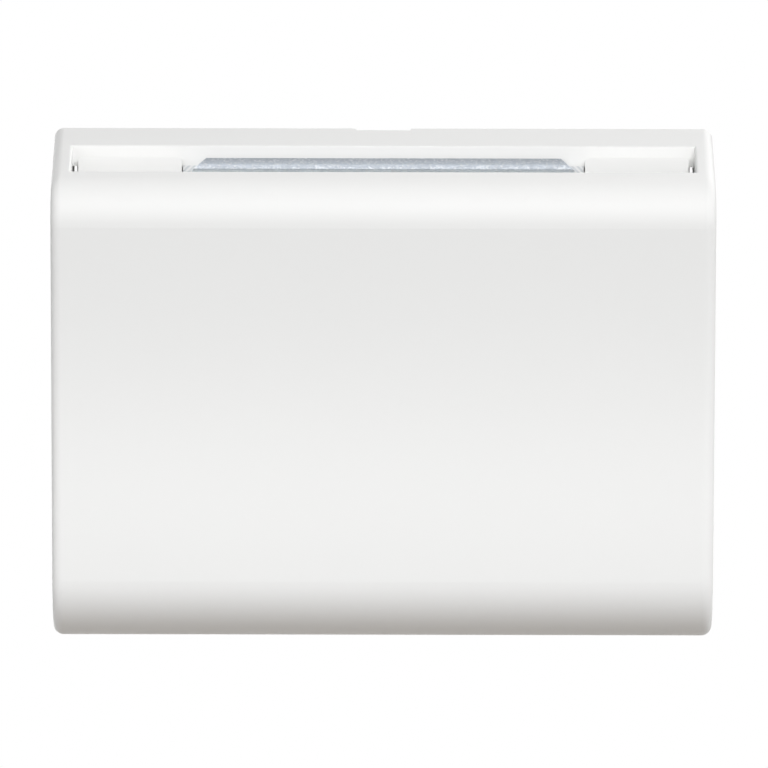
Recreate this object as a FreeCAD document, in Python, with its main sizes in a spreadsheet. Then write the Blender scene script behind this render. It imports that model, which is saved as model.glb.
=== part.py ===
import FreeCAD, Part
import math
import os
import re
import Sketcher
from FreeCAD import Vector

# Key card switch for a two module support frame, in millimetres.
# The origin is the middle of the wall plane: X to the right, Y into the wall, Z up.
# The card pocket stands in front of the wall plane and the switch box lies behind it.

SIZES = {
    # Front cover
    "cover_width": 60.0,
    "cover_height": 46.2,
    "cover_wall": 1.75,
    "rim_flat": 2.6,
    "nose_depth": 17.0,
    "nose_drop": 6.0,
    "chin_depth": 7.0,
    "shoulder_radius": 4.0,
    "chin_radius": 6.5,
    "edge_radius": 0.9,
    "mouth_back": 6.6,
    "mouth_opening": 5.7,
    "mouth_edge_radius": 0.25,
    "notch_width": 5.0,
    "notch_depth": 3.0,
    "hook_width": 6.0,
    "hook_place": 9.0,
    "hook_depth": 0.9,
    "hook_bite": 0.5,
    # Card channel
    "guide_drop": 2.8,
    "guide_thickness": 1.1,
    "guide_width": 9.4,
    "guide_inset": 0.55,
    "guide_round": 0.3,
    "channel_gap": 2.5,
    "stop_rise": 6.35,
    "ledge_height": 2.0,
    "ledge_inset": 8.0,
    "plate_thickness": 1.3,
    "plate_drop": 4.3,
    "cheek_width": 2.2,
    "peg_width": 1.8,
    "peg_span": 3.0,
    "peg_length": 1.6,
    "peg_height": 14.0,
    # Locator light
    "light_end_gap": 0.85,
    "light_end_slope": 1.25,
    "light_step": 0.4,
    "bar_brow_drop": 3.4,
    "bar_brow_depth": 0.85,
    "bar_brow_round": 0.8,
    "bar_relief_height": 0.6,
    "bar_relief_depth": 0.3,
    "crease_drop": 3.8,
    "light_bar_height": 4.8,
    "guide_light_drop": 3.5,
    "light_foot_drop": 8.2,
    "light_foot_height": 3.6,
    "board_width": 31.0,
    "board_height": 15.0,
    "board_thickness": 1.2,
    "lamp_width": 3.2,
    "lamp_height": 1.8,
    "lamp_depth": 1.5,
    "dome_radius": 0.72,
    "lamp_spacing": 18.0,
    "resistor_height": 1.6,
    "resistor_depth": 0.6,
    "rectifier_width": 4.8,
    "rectifier_height": 3.8,
    "rectifier_depth": 0.9,
    "lead_radius": 0.4,
    "lead_inset": 1.3,
    "lead_drop": 1.1,
    "lead_margin": 0.8,
    # Base frame
    "frame_thickness": 2.0,
    "frame_clearance": 0.3,
    "window_margin": 1.5,
    # Switch box
    "box_width": 44.0,
    "box_wall": 1.5,
    "box_chamfer": 0.6,
    "boss_inset": 2.3,
    "screw_drop": 6.0,
    "screw_radius": 1.2,
    "screw_length": 9.0,
    "screw_head_radius": 2.2,
    "screw_head_height": 1.3,
    "boss_width": 4.4,
    # Card lever
    "pivot_depth": 8.0,
    "pivot_drop": 10.5,
    "hub_radius": 2.4,
    "pin_radius": 1.0,
    "pin_proud": 0.2,
    "pin_chamfer": 0.2,
    "bracket_width": 2.0,
    "running_clearance": 0.05,
    "side_clearance": 0.3,
    "lever_width": 8.0,
    "lever_height": 3.0,
    "lever_tail": 6.6,
    "tail_rise": 0.5,
    "nose_gap": 0.5,
    "nose_height": 1.8,
    "nose_fall": 0.7,
    "nose_round": 0.35,
    "spring_radius": 1.9,
    "spring_wire": 0.6,
    "spring_turns": 2.5,
    "spring_arm": 4.5,
    "spring_peg_height": 2.2,
    # Microswitch
    "switch_height": 15.9,
    "switch_thickness": 10.3,
    "switch_hole_spacing": 22.2,
    "switch_end_wall": 2.8,
    "switch_hole_rise": 2.9,
    "case_chamfer": 0.7,
    "seam_depth": 0.25,
    "plunger_arm": 5.0,
    "plunger_radius": 1.2,
    "plunger_reach": 1.9,
    "plunger_stroke": 3.2,
    "plunger_gap": 0.2,
    "plunger_chamfer": 0.9,
    "stud_radius": 1.5,
    "washer_radius": 3.0,
    "washer_thickness": 0.8,
    "tab_spacing": 11.0,
    "tab_width": 4.8,
    "tab_thickness": 0.8,
    "tab_height": 7.0,
    "tab_chamfer": 0.8,
    "tab_hole_radius": 0.8,
    "tab_hole_rise": 5.2,
    # Terminals
    "clamp_side_gap": 0.5,
    "clamp_rise": 0.3,
    "clamp_width": 7.0,
    "clamp_height": 8.0,
    "clamp_depth": 7.5,
    "clamp_top_gap": 0.2,
    "clamp_chamfer": 0.6,
    "wire_radius": 1.75,
    "wire_drop": 4.9,
    "terminal_screw_radius": 1.7,
    "terminal_screw_rise": 1.2,
    "slot_width": 0.6,
    "partition_width": 1.2,
    "link_height": 3.0,
    "link_reach": 1.6,
    "link_drop": 2.0,
    # Spring catches on the box
    "catch_width": 6.0,
    "catch_thickness": 0.5,
    "support_thickness": 2.2,
    "catch_rise": 2.0,
    "catch_ramp": 6.0,
    "catch_return": 4.0,
}

doc = FreeCAD.newDocument("key_card_switch")
sheet = doc.addObject("Spreadsheet::Sheet", "Sizes")
for row, (alias, number) in enumerate(SIZES.items(), start=1):
    sheet.set(f"A{row}", alias.replace("_", " "))
    sheet.set(f"B{row}", str(number))
    sheet.setAlias(f"B{row}", alias)
doc.recompute()


# Sizes worked out from the driving dimensions

def bound(text):
    """Formula with every size name pointing at its cell."""
    return re.sub(r"[a-z]+(?:_[a-z]+)+", lambda word: "Sizes." + word.group(0), text)


def number(text):
    """Present value of a formula, in millimetres."""
    found = sheet.evalExpression(bound(text))
    return float(getattr(found, "Value", found))


TOP = "(cover_height / 2)"
BOTTOM = "(-cover_height / 2)"
INNER_SIDE = "(cover_width / 2 - cover_wall)"
INNER_TOP = "(cover_height / 2 - cover_wall)"
FRONT_LEAN = "((nose_depth - chin_depth) / (cover_height - nose_drop))"


def inner_front(height):
    """Depth of the inside of the cover's front wall at a height."""
    return (f"(chin_depth + ({height} + cover_height / 2) * {FRONT_LEAN}"
            f" - cover_wall * sqrt(1 + {FRONT_LEAN} ^ 2))")


GUIDE_TOP = "(cover_height / 2 - guide_drop)"
GUIDE_TOP_DEPTH = "(mouth_back + frame_clearance + guide_thickness)"
CARD_STOP = f"(-{INNER_TOP} + stop_rise)"
GUIDE_FOOT_DEPTH = f"({inner_front(CARD_STOP)} - channel_gap)"
GUIDE_LEAN = f"(({GUIDE_TOP_DEPTH} - {GUIDE_FOOT_DEPTH}) / ({GUIDE_TOP} - {CARD_STOP}))"
GUIDE_SIDE = f"({INNER_SIDE} - guide_inset)"


def guide_face(height):
    """Depth of the card guides' front face at a height."""
    return f"({GUIDE_TOP_DEPTH} - ({GUIDE_TOP} - {height}) * {GUIDE_LEAN})"


PLATE_TOP = "(cover_height / 2 - plate_drop)"
PLATE_FOOT = f"({CARD_STOP} - ledge_height)"
LIGHT_BACK = "(mouth_back + frame_clearance / 3)"
LIGHT_CAP = "(mouth_back + frame_clearance)"
LIGHT_SEAM = f"({LIGHT_CAP} + light_step)"
LIGHT_TOP = "(cover_height / 2 - guide_light_drop)"
LIGHT_FOOT = "(cover_height / 2 - light_foot_drop)"
GLOW_SIDE = f"({GUIDE_SIDE} - guide_width - frame_clearance / 3)"

FRAME_SIDE = f"({INNER_SIDE} - frame_clearance)"
FRAME_TOP = f"({INNER_TOP} - frame_clearance)"

PIVOT = "(-pivot_drop)"
LEVER_TOP = f"({PIVOT} + lever_height / 2)"
LEVER_UNDER = f"({PIVOT} - lever_height / 2)"
NOSE_TOP = f"({PIVOT} - nose_fall)"
NOSE_MIDDLE = f"({NOSE_TOP} - nose_height / 3)"
NOSE_DEPTH = f"({inner_front(NOSE_MIDDLE)} - nose_gap)"
LEVER_SLIT = "(lever_width / 2 + window_margin)"
BRACKET_SIDE = "(lever_width / 2 + side_clearance)"

PLUNGER_DEPTH = "(pivot_depth + plunger_arm)"
PLUNGER_TIP = f"({LEVER_TOP} + plunger_gap)"
SWITCH_UNDER = f"({PLUNGER_TIP} + plunger_reach)"
SWITCH_TOP = f"({SWITCH_UNDER} + switch_height)"
SWITCH_SIDE = "(switch_hole_spacing / 2 + switch_end_wall)"
SWITCH_FRONT = f"({PLUNGER_DEPTH} - switch_thickness / 2)"
SWITCH_BACK = f"({PLUNGER_DEPTH} + switch_thickness / 2)"
STUD_HEIGHT = f"({SWITCH_UNDER} + switch_hole_rise)"
TAB_BACK = f"({PLUNGER_DEPTH} + tab_thickness / 2)"

# The box is as high and as deep as the microswitch with the clamps above and behind it.
CLAMP_UNDER = f"({SWITCH_TOP} + clamp_rise)"
CLAMP_TOP = f"({CLAMP_UNDER} + clamp_height)"
CLAMP_FRONT = f"({TAB_BACK} + link_reach)"
WIRE_HEIGHT = f"({CLAMP_TOP} - wire_drop)"
BOX_INSIDE = f"({CLAMP_TOP} + clamp_top_gap)"
BOX_TOP = f"({BOX_INSIDE} + box_wall)"
BOX_BACK = f"({CLAMP_FRONT} + clamp_depth)"
BOX_DEPTH = f"({BOX_BACK} + box_wall)"
BOX_SIDE_INSIDE = "(box_width / 2 - box_wall)"
CLAMP_PITCH = f"((2 * {BOX_SIDE_INSIDE} - clamp_width - 2 * clamp_side_gap) / 3)"
CLAMP_STEPS = (-1.5, -0.5, 0.5, 1.5)

SCREW_SIDE = f"({BOX_SIDE_INSIDE} - boss_inset)"
SCREW_PLACES = [(f"{side}{SCREW_SIDE}", "-screw_drop") for side in ("-", "")]
LEAD_SIDE = "(board_width / 2 - lead_inset)"
LEAD_HEIGHT = f"({CLAMP_TOP} - lead_drop)"
BOARD_TOP = f"({LEAD_HEIGHT} + lead_margin)"
BOARD_FACE = "(frame_thickness + board_thickness)"
LIGHT_SIDE = f"({GLOW_SIDE} - light_end_gap)"
PEG_PLACES = [(f"{across}({GUIDE_SIDE} - cheek_width / 2)", f"{up}peg_height")
              for across in ("-", "") for up in ("-", "")]


# Bodies, sketches and features

def new_body(label):
    """Empty body that carries its node's name."""
    body = doc.addObject("PartDesign::Body", label)
    body.Label = label
    return body


def new_sketch(body, plane, start):
    """Sketch on one of the body's own planes, raised along that plane's normal."""
    sketch = body.newObject("Sketcher::SketchObject", "sketch")
    support = [feature for feature in body.Origin.OriginFeatures if feature.Role == plane]
    sketch.AttachmentSupport = (support[0], [""])
    sketch.MapMode = "FlatFace"
    sketch.setExpression("AttachmentOffset.Base.z", bound(start))
    return sketch


def hold(sketch, kind, *place, formula):
    """Constraint of a sketch whose value follows a formula."""
    index = sketch.addConstraint(Sketcher.Constraint(kind, *place, number(formula)))
    sketch.setExpression(f"Constraints[{index}]", bound(formula))


def add_outline(sketch, corners):
    """Closed outline of straight edges through corners given as pairs of formulas."""
    first = sketch.GeometryCount
    count = len(corners)
    points = [Vector(number(across), number(along), 0) for across, along in corners]
    for index in range(count):
        sketch.addGeometry(Part.LineSegment(points[index], points[(index + 1) % count]))
    for index in range(count):
        following = first + (index + 1) % count
        sketch.addConstraint(Sketcher.Constraint("Coincident", first + index, 2, following, 1))
    for index, corner in enumerate(corners):
        hold(sketch, "DistanceX", -1, 1, first + index, 1, formula=corner[0])
        hold(sketch, "DistanceY", -1, 1, first + index, 1, formula=corner[1])


def add_ring(sketch, across, along, radius):
    """Circle at a place given by formulas."""
    index = sketch.GeometryCount
    centre = Vector(number(across), number(along), 0)
    sketch.addGeometry(Part.Circle(centre, Vector(0, 0, 1), number(radius)))
    hold(sketch, "DistanceX", -1, 1, index, 3, formula=across)
    hold(sketch, "DistanceY", -1, 1, index, 3, formula=along)
    hold(sketch, "Radius", index, formula=radius)


def rectangle(left, right, low, high):
    """Corners of an upright rectangle."""
    return [(left, low), (right, low), (right, high), (left, high)]


def around(across, along, width, height):
    """Corners of a rectangle about its middle."""
    return rectangle(f"({across} - {width} / 2)", f"({across} + {width} / 2)",
                     f"({along} - {height} / 2)", f"({along} + {height} / 2)")


def extrude(body, sketch, length, cut):
    """Pad or pocket of a sketch along its plane's normal."""
    feature = body.newObject("PartDesign::Pocket" if cut else "PartDesign::Pad", "feature")
    feature.Profile = sketch
    feature.Reversed = cut
    feature.setExpression("Length", bound(length))
    sketch.Visibility = False
    return feature


def block(body, plane, outlines, start, length, cut=False):
    """Straight-sided pad or pocket of one or more outlines."""
    sketch = new_sketch(body, plane, start)
    for corners in outlines:
        add_outline(sketch, corners)
    return extrude(body, sketch, length, cut)


def disc(body, plane, rings, start, length, cut=False):
    """Round pad or pocket of one or more circles."""
    sketch = new_sketch(body, plane, start)
    for across, along, radius in rings:
        add_ring(sketch, across, along, radius)
    return extrude(body, sketch, length, cut)


def across_width(body, corners, half, cut=False):
    """Side profile, as depth behind the wall plane and height, over a symmetric width."""
    return block(body, "YZ_Plane", [corners], f"-{half}", f"2 * {half}", cut)


def forward(corners):
    """Corners given as depth in front of the wall plane and height."""
    return [(f"-{depth}", height) for depth, height in corners]


def mirror(body, originals, plane):
    """Mirror image of features in one of the body's own planes."""
    feature = body.newObject("PartDesign::Mirrored", "mirror")
    feature.Originals = originals
    support = [item for item in body.Origin.OriginFeatures if item.Role == plane]
    feature.MirrorPlane = (support[0], [""])
    body.Tip = feature
    return feature


def edges_of(body, wanted):
    """Names of the edges of a body's last feature that pass a test."""
    doc.recompute()
    edges = body.Tip.Shape.Edges
    return [f"Edge{index}" for index, edge in enumerate(edges, start=1) if wanted(edge)]


def round_off(body, wanted, radius, kind="Fillet"):
    """Fillet or chamfer on the edges that pass a test."""
    names = edges_of(body, wanted)
    base = body.Tip
    feature = body.newObject(f"PartDesign::{kind}", "rounding")
    feature.Base = (base, names)
    feature.setExpression("Radius" if kind == "Fillet" else "Size", bound(radius))
    return feature


def runs_along(edge, axis):
    """True for a straight edge parallel to an axis."""
    span = edge.Vertexes[-1].Point - edge.Vertexes[0].Point
    return edge.Curve.TypeId == "Part::GeomLine" and span.Length > 0.01 and (
        abs(span.normalize().dot(axis)) > 0.999)


ALONG_X = Vector(1, 0, 0)
ALONG_Y = Vector(0, 1, 0)


# Front cover

def make_front_cover():
    """Wedge-shaped pocket: a bent side profile, hollowed to one wall and cut open at the top."""
    body = new_body("front_cover")
    profile = forward([
        ("0", TOP),
        ("rim_flat", TOP),
        ("nose_depth", f"({TOP} - nose_drop)"),
        ("chin_depth", BOTTOM),
        ("0", BOTTOM),
    ])
    across_width(body, profile, "(cover_width / 2)")

    def is_corner(depth, height):
        return lambda edge: runs_along(edge, ALONG_X) and (
            edge.CenterOfMass - Vector(0, -number(depth), number(height))).Length < 0.01

    round_off(body, is_corner("nose_depth", f"({TOP} - nose_drop)"), "shoulder_radius")
    round_off(body, is_corner("chin_depth", BOTTOM), "chin_radius")
    doc.recompute()
    open_side = [
        f"Face{index}" for index, face in enumerate(body.Tip.Shape.Faces, start=1)
        if face.BoundBox.YLength < 0.01
    ]
    shell = body.newObject("PartDesign::Thickness", "shell")
    shell.Base = (body.Group[-2], open_side)
    shell.Mode = "Skin"
    shell.Join = "Intersection"
    shell.Reversed = True
    shell.setExpression("Value", bound("cover_wall"))

    # The mouth is as wide as the pocket and goes down through the sloping wall only.
    mouth = rectangle(f"-{INNER_SIDE}", INNER_SIDE, "-(mouth_back + mouth_opening)", "-mouth_back")
    block(body, "XY_Plane", [mouth], f"({TOP} - nose_drop - cover_wall)",
          "(nose_drop + 2 * cover_wall)", cut=True)
    slope_drop = number("nose_drop / (nose_depth - rim_flat)")
    slope_start = Vector(0, -number("rim_flat"), number(TOP))
    inner_side = number(INNER_SIDE)

    def on_slope(vertex):
        reach = vertex.Point - slope_start
        return abs(reach.z - slope_drop * reach.y) < 0.01

    def is_mouth_edge(edge):
        inside = max(abs(edge.BoundBox.XMin), abs(edge.BoundBox.XMax)) < inner_side + 0.01
        return inside and all(on_slope(vertex) for vertex in edge.Vertexes)

    round_off(body, is_mouth_edge, "mouth_edge_radius")
    notch = rectangle("-notch_width / 2", "notch_width / 2", "-notch_depth", "0")
    block(body, "XY_Plane", [notch], f"{INNER_TOP} - cover_wall", "3 * cover_wall", cut=True)

    # Hooks at the open back snap behind the base frame's rebates.
    reach = "(frame_clearance + hook_bite)"
    hooks = []
    for side in ("-", ""):
        middle = f"{side}hook_place"
        left = f"({middle} - hook_width / 2)"
        right = f"({middle} + hook_width / 2)"
        hooks.append(rectangle(left, right, f"{INNER_TOP} - {reach}", f"{INNER_TOP}"))
        hooks.append(rectangle(left, right, f"-{INNER_TOP}", f"-{INNER_TOP} + {reach}"))
    block(body, "XZ_Plane", hooks, "0", "hook_depth")

    # The outer edges of both end faces are rounded from the wall to the chin.
    half_width = number("cover_width / 2")
    wall_line = 0.01

    def is_outer_edge(edge):
        box = edge.BoundBox
        at_end = box.XLength < 0.01 and abs(abs(box.XMin) - half_width) < 0.01
        return at_end and box.YMin < -wall_line

    round_off(body, is_outer_edge, "edge_radius")
    return body


# Base frame

def make_base_frame():
    """Plate on the wall plane that closes the switch box and holds the pocket's parts."""
    body = new_body("base_frame")
    plate = rectangle(f"-{FRAME_SIDE}", FRAME_SIDE, f"-{FRAME_TOP}", FRAME_TOP)
    block(body, "XZ_Plane", [plate], "0", "frame_thickness")

    room = "side_clearance / 2"
    rebates = []
    for side in ("-", ""):
        left = f"({side}hook_place - hook_width / 2 - {room})"
        right = f"({side}hook_place + hook_width / 2 + {room})"
        rebates.append(rectangle(left, right, f"{FRAME_TOP} - hook_bite - {room}", f"{FRAME_TOP}"))
        rebates.append(rectangle(left, right, f"-{FRAME_TOP}", f"-{FRAME_TOP} + hook_bite + {room}"))
    block(body, "XZ_Plane", rebates, "0", f"hook_depth + {room}", cut=True)

    slit = rectangle(f"-{LEVER_SLIT}", LEVER_SLIT, f"({CARD_STOP} - window_margin)",
                     f"({LEVER_TOP} + window_margin)")
    block(body, "XZ_Plane", [slit], "0", "frame_thickness", cut=True)

    pegs = [around(*place, "(peg_width + 2 * running_clearance)", "(peg_span + 2 * running_clearance)")
            for place in PEG_PLACES]
    block(body, "XZ_Plane", pegs, "0", "frame_thickness", cut=True)
    screws = [(*place, "(screw_radius + running_clearance)") for place in SCREW_PLACES]
    disc(body, "XZ_Plane", lead_holes() + screws, "0", "frame_thickness", cut=True)
    recesses = [(*place, "(screw_head_radius + running_clearance)") for place in SCREW_PLACES]
    disc(body, "XZ_Plane", recesses, "frame_thickness - screw_head_height", "screw_head_height", cut=True)
    return body


def lead_holes():
    """Holes that the two lamp leads pass through."""
    return [(f"{side}{LEAD_SIDE}", LEAD_HEIGHT, "(lead_radius + running_clearance)")
            for side in ("-", "")]


# Card channel

def make_guide_plate():
    """Leaning rear wall of the pocket with side cheeks, a card stop and two windows."""
    body = new_body("guide_plate")

    def face(height, step):
        return (f"({guide_face(height)} - {step})", height)

    front = "guide_thickness"
    back = "(guide_thickness + plate_thickness)"
    plate = forward([face(PLATE_TOP, front), face(PLATE_FOOT, front),
                     face(PLATE_FOOT, back), face(PLATE_TOP, back)])
    across_width(body, plate, GUIDE_SIDE)

    seat = "frame_thickness"
    cheek = forward([face(PLATE_TOP, front), face(PLATE_FOOT, front),
                     (seat, PLATE_FOOT), (seat, PLATE_TOP)])
    cheeks = block(body, "YZ_Plane", [cheek], f"{GUIDE_SIDE} - cheek_width", "cheek_width")

    # The stop is a ledge on each side of the lever, where the card's lower edge lands.
    lip = f"({inner_front(PLATE_FOOT)} - frame_clearance)"
    ledge = forward([face(PLATE_FOOT, front), (lip, PLATE_FOOT),
                     (lip, CARD_STOP), face(CARD_STOP, front)])
    stops = block(body, "YZ_Plane", [ledge], "ledge_inset", f"{GUIDE_SIDE} - cheek_width - ledge_inset")
    mirror(body, [cheeks, stops], "YZ_Plane")

    glow = rectangle(f"-{GLOW_SIDE}", GLOW_SIDE, LIGHT_FOOT, TOP)
    block(body, "XZ_Plane", [glow], "0", "nose_depth", cut=True)
    slit = rectangle(f"-{LEVER_SLIT}", LEVER_SLIT, f"({CARD_STOP} - window_margin)",
                     f"({LEVER_TOP} + window_margin)")
    block(body, "XZ_Plane", [slit], "0", "nose_depth", cut=True)

    pegs = [around(*place, "peg_width", "peg_span") for place in PEG_PLACES]
    block(body, "XZ_Plane", pegs, "frame_thickness - peg_length", "peg_length")
    return body


def make_card_guide(label, side):
    """Long runner on the guide plate whose rounded top end stands in the mouth."""
    body = new_body(label)
    profile = forward([
        (f"({GUIDE_TOP_DEPTH} - guide_thickness)", GUIDE_TOP),
        (GUIDE_TOP_DEPTH, GUIDE_TOP),
        (guide_face(CARD_STOP), CARD_STOP),
        (f"({guide_face(CARD_STOP)} - guide_thickness)", CARD_STOP),
    ])
    start = f"({GUIDE_SIDE} - guide_width)" if side > 0 else f"(-{GUIDE_SIDE})"
    block(body, "YZ_Plane", [profile], start, "guide_width")
    top = number(GUIDE_TOP)
    round_off(body, lambda edge: runs_along(edge, ALONG_Y) and edge.CenterOfMass.z > top - 0.01,
              "guide_round")
    return body


def make_light_bar():
    """Silver-grey bar with a rounded brow over a crease, cut back at both ends, on the light guide."""
    body = new_body("light_bar")
    brow = "(cover_height / 2 - bar_brow_drop)"
    brow_depth = f"({LIGHT_CAP} + bar_brow_depth)"
    crease = "(cover_height / 2 - crease_drop)"
    foot = f"({GUIDE_TOP} - light_bar_height)"
    profile = forward([
        (LIGHT_CAP, GUIDE_TOP),
        (brow_depth, brow),
        (guide_face(crease), crease),
        (f"({guide_face(crease)} - bar_relief_depth)", f"({crease} - bar_relief_height)"),
        (guide_face(foot), foot),
        (LIGHT_SEAM, foot),
        (LIGHT_SEAM, LIGHT_TOP),
        (LIGHT_CAP, LIGHT_TOP),
    ])
    across_width(body, profile, LIGHT_SIDE)
    middle = Vector(0, -number(brow_depth), number(brow))
    round_off(body, lambda edge: runs_along(edge, ALONG_X)
              and (edge.CenterOfMass - middle).Length < 0.01, "bar_brow_round")
    slant = "(crease_drop + light_end_slope - guide_drop)"
    ends = []
    for side in ("-", ""):
        outer = f"{side}{LIGHT_SIDE}"
        inner = f"{side}({LIGHT_SIDE} - light_end_slope)"
        ends.append([(outer, f"({GUIDE_TOP} - {slant} / 2)"), (inner, GUIDE_TOP),
                     (inner, TOP), (outer, TOP)])
    block(body, "XZ_Plane", ends, "0", "nose_depth", cut=True)
    return body


def make_light_guide():
    """Clear moulding that carries the lamps' light up into the mouth."""
    body = new_body("light_guide")
    lamp_face = "(frame_thickness + board_thickness + lamp_depth + frame_clearance)"
    shelf = f"({LIGHT_FOOT} + light_foot_height)"
    profile = forward([
        (LIGHT_SEAM, LIGHT_TOP),
        (LIGHT_SEAM, LIGHT_FOOT),
        (lamp_face, LIGHT_FOOT),
        (lamp_face, shelf),
        (LIGHT_BACK, shelf),
        (LIGHT_BACK, LIGHT_TOP),
    ])
    across_width(body, profile, GLOW_SIDE)
    return body


# Locator light

def make_circuit_board():
    """Small board on the base frame's front face."""
    body = new_body("circuit_board")
    outline = rectangle("-board_width / 2", "board_width / 2", f"({BOARD_TOP} - board_height)", BOARD_TOP)
    block(body, "XZ_Plane", [outline], "frame_thickness", "board_thickness")
    disc(body, "XZ_Plane", lead_holes(), "frame_thickness", "board_thickness", cut=True)
    return body


def on_board(label, places, width, height, depth):
    """Rectangular components on the board's front face."""
    body = new_body(label)
    block(body, "XZ_Plane", [around(*place, width, height) for place in places], BOARD_FACE, depth)
    return body


def make_lamp(label, side):
    """Surface-mounted lamp with a small dome towards the light guide."""
    up = f"({BOARD_TOP} - lamp_height)"
    across = f"{side}lamp_spacing / 2"
    body = on_board(label, [(across, up)], "lamp_width", "lamp_height", "2 * lamp_depth / 3")
    disc(body, "XZ_Plane", [(across, up, "dome_radius")],
         f"{BOARD_FACE} + 2 * lamp_depth / 3", "lamp_depth / 3")
    return body


def make_lead(label, side):
    """Straight pin from a terminal clamp through the base frame to the board."""
    body = new_body(label)
    disc(body, "XZ_Plane", [(f"{side}{LEAD_SIDE}", LEAD_HEIGHT, "lead_radius")],
         f"-{CLAMP_FRONT}", f"{CLAMP_FRONT} + {BOARD_FACE} + lead_radius")
    return body


# Switch box

def make_housing():
    """Box behind the wall plane with bosses, pin brackets, studs and terminal chambers."""
    body = new_body("mechanism_housing")
    outside = rectangle("-box_width / 2", "box_width / 2", f"-{BOX_TOP}", BOX_TOP)
    block(body, "XZ_Plane", [outside], f"-{BOX_DEPTH}", BOX_DEPTH)
    front_line = number("box_wall")
    round_off(body, lambda edge: edge.BoundBox.YMax > front_line, "box_chamfer", "Chamfer")
    inside = rectangle(f"-{BOX_SIDE_INSIDE}", BOX_SIDE_INSIDE, f"-{BOX_INSIDE}", BOX_INSIDE)
    block(body, "XZ_Plane", [inside], f"-{BOX_BACK}", BOX_BACK, cut=True)

    # Screw bosses run from the side walls inwards and end at the wall plane.
    bosses = []
    for across, up in SCREW_PLACES:
        edges = [across.replace(SCREW_SIDE, f"({edge})")
                 for edge in (f"{SCREW_SIDE} - boss_width / 2", f"{BOX_SIDE_INSIDE} + box_wall / 2")]
        low, high = sorted(edges, key=number)
        bosses.append(rectangle(low, high, f"({up} - boss_width / 2)", f"({up} + boss_width / 2)"))
    block(body, "XZ_Plane", bosses, f"-{BOX_BACK}", BOX_BACK)
    disc(body, "XZ_Plane", [(*place, "screw_radius") for place in SCREW_PLACES],
         "-screw_length", "screw_length", cut=True)

    # Two brackets carry the lever's pin, and a peg on the floor centres its spring.
    bracket = rectangle("(pivot_depth - hub_radius)", "(pivot_depth + hub_radius)",
                        f"-{BOX_INSIDE}", f"({PIVOT} + hub_radius)")
    right = block(body, "YZ_Plane", [bracket], BRACKET_SIDE, "bracket_width")
    bore = disc(body, "YZ_Plane", [("pivot_depth", PIVOT, "pin_radius")], BRACKET_SIDE,
                "bracket_width", cut=True)
    mirror(body, [right, bore], "YZ_Plane")
    disc(body, "XY_Plane", [("0", "(pivot_depth - spring_arm)", "(spring_radius - 1.5 * spring_wire)")],
         f"-{BOX_INSIDE}", "spring_peg_height")

    # Two studs on square pads carry the microswitch.
    studs = [(f"{side}switch_hole_spacing / 2", STUD_HEIGHT) for side in ("-", "")]
    block(body, "XZ_Plane", [around(*place, "(2 * washer_radius)", "(2 * washer_radius)") for place in studs],
          f"-{BOX_BACK}", f"{BOX_BACK} - {SWITCH_BACK}")
    disc(body, "XZ_Plane", [(*place, "stud_radius") for place in studs],
         f"-{SWITCH_BACK}", "switch_thickness + 2 * washer_thickness")

    # Partitions part the terminals, and a shelf carries their clamps.
    partitions = [
        rectangle(f"({step} * {CLAMP_PITCH} - partition_width / 2)",
                  f"({step} * {CLAMP_PITCH} + partition_width / 2)", CLAMP_UNDER, BOX_INSIDE)
        for step in (-1, 0, 1)
    ]
    block(body, "XZ_Plane", partitions, f"-{BOX_BACK}", "(clamp_depth - 2 * tab_thickness)")
    shelf = rectangle(f"-{BOX_SIDE_INSIDE}", BOX_SIDE_INSIDE, f"({CLAMP_UNDER} - box_wall)", CLAMP_UNDER)
    block(body, "XZ_Plane", [shelf], f"-{BOX_BACK}", f"{BOX_BACK} - {SWITCH_BACK} - frame_clearance")

    # Each terminal has a wire entry in the back wall and a screw opening in the top wall.
    disc(body, "XZ_Plane", [(f"{step} * {CLAMP_PITCH}", WIRE_HEIGHT, "wire_radius") for step in CLAMP_STEPS],
         f"-{BOX_DEPTH}", "box_wall", cut=True)
    screw_depth = f"({CLAMP_FRONT} + clamp_depth / 2)"
    disc(body, "XY_Plane", [(f"{step} * {CLAMP_PITCH}", screw_depth,
                             "(terminal_screw_radius + side_clearance)") for step in CLAMP_STEPS],
         BOX_INSIDE, "box_wall", cut=True)
    return body


def make_housing_screws():
    """Two sunk screws that draw the box against the base frame."""
    body = new_body("housing_screws")
    shank = "(frame_thickness - screw_head_height)"
    for across, up in SCREW_PLACES:
        disc(body, "XZ_Plane", [(across, up, "(screw_radius - running_clearance)")],
             "-(screw_length - side_clearance)", f"screw_length - side_clearance + {shank}")
        disc(body, "XZ_Plane", [(across, up, "screw_head_radius")], shank, "screw_head_height")
    slots = [rectangle(f"({across} - screw_head_radius)", f"({across} + screw_head_radius)",
                       f"({up} - slot_width / 2)", f"({up} + slot_width / 2)")
             for across, up in SCREW_PLACES]
    block(body, "XZ_Plane", slots, "frame_thickness - screw_head_height / 2", "screw_head_height / 2",
          cut=True)
    return body


# Card lever, pin and spring

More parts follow.
